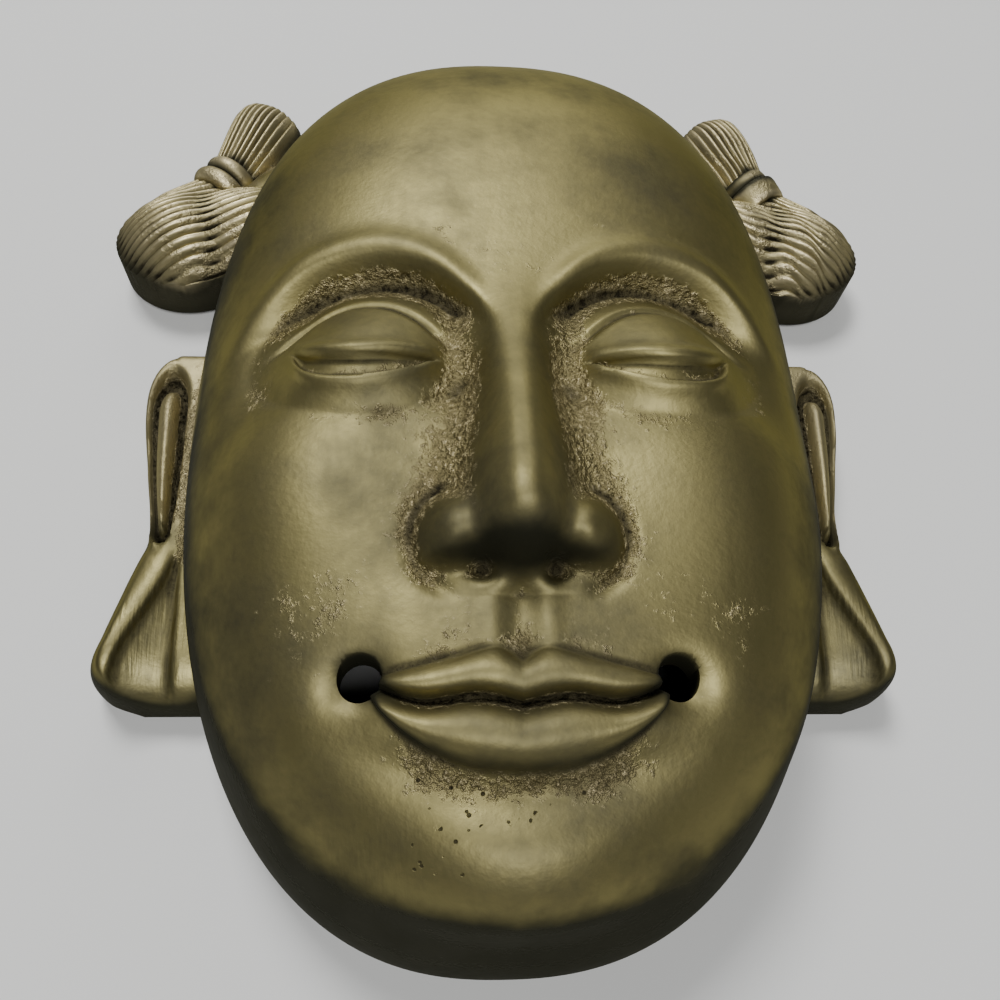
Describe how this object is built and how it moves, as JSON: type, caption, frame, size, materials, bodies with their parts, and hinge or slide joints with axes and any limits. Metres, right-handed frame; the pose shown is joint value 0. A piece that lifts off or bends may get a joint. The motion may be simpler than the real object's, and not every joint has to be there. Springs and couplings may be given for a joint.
{
  "type": "brass wall mask",
  "caption": "Cast brass wall mask of a calm, full-cheeked monk with long ear lobes and tied side knots of hair, hollow behind with a flat rim.",
  "frame": {"origin": "middle of the flat back rim's plane, midway between the crown and the chin", "axes": "+Z out of the back towards the tip of the nose, +Y to the crown, +X to the mask's own left ear; it lies on its back rim with the face up"},
  "size_m": [0.1314, 0.15, 0.0539],
  "materials": {
    "aged_brass": "aged brass, worn satin on the high places, brown and grainy in the recesses"
  },
  "bodies": {
    "root": {"mask_casting": "aged_brass"}
  },
  "joints": []
}
